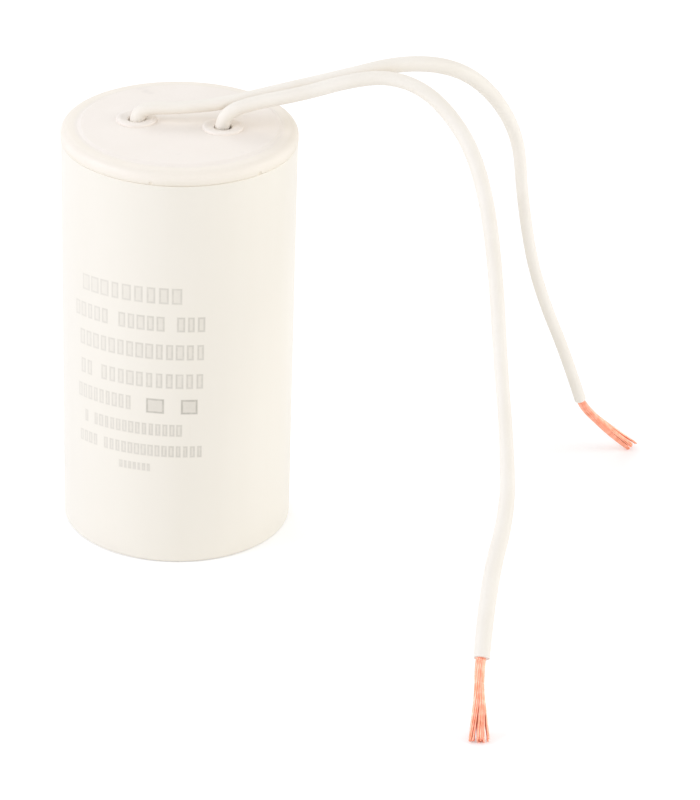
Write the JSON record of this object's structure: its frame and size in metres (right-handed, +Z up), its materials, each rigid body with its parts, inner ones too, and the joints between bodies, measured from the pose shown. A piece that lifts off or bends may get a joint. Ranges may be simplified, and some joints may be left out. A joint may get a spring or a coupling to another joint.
{
  "type": "capacitor",
  "caption": "Cylindrical white plastic-cased film capacitor for a motor, with a lid and insulated flying leads ending in bare stranded copper.",
  "frame": {"origin": "centre of the can's flat base", "axes": "+Z up along the can's axis; the two lead exits lie on the X axis, the leads go over the +X edge of the lid; -Y faces the viewer"},
  "size_m": [0.0971, 0.1101, 0.0846],
  "materials": {
    "can_plastic": "smooth moulded white plastic, softly glossy",
    "lid_plastic": "fine matt moulded white plastic",
    "core_plastic": "plain moulded",
    "metallised_film": "wound metallised film, satin edges",
    "wrap_film": "clear film wrap",
    "sprayed_zinc": "rough sprayed zinc",
    "resin": "cast resin",
    "lead_insulation": "soft cream-white insulation, satin",
    "copper_strands": "bright bare copper",
    "solder": "bright solder"
  },
  "bodies": {
    "root": {"can": "can_plastic", "lid": "lid_plastic", "winding_core": "core_plastic", "film_winding": "metallised_film", "outer_wrap": "wrap_film", "bottom_end_contact": "sprayed_zinc", "top_end_contact": "sprayed_zinc", "potting_resin": "resin", "rear_lead_tail": "lead_insulation", "front_lead_tail": "lead_insulation", "rear_lead_bare_end": "copper_strands", "front_lead_bare_end": "copper_strands", "top_solder_joint": "solder", "bottom_solder_joint": "solder", "rear_lead": "lead_insulation", "front_lead": "lead_insulation", "rear_lead_strands": "copper_strands", "front_lead_strands": "copper_strands"}
  },
  "joints": []
}
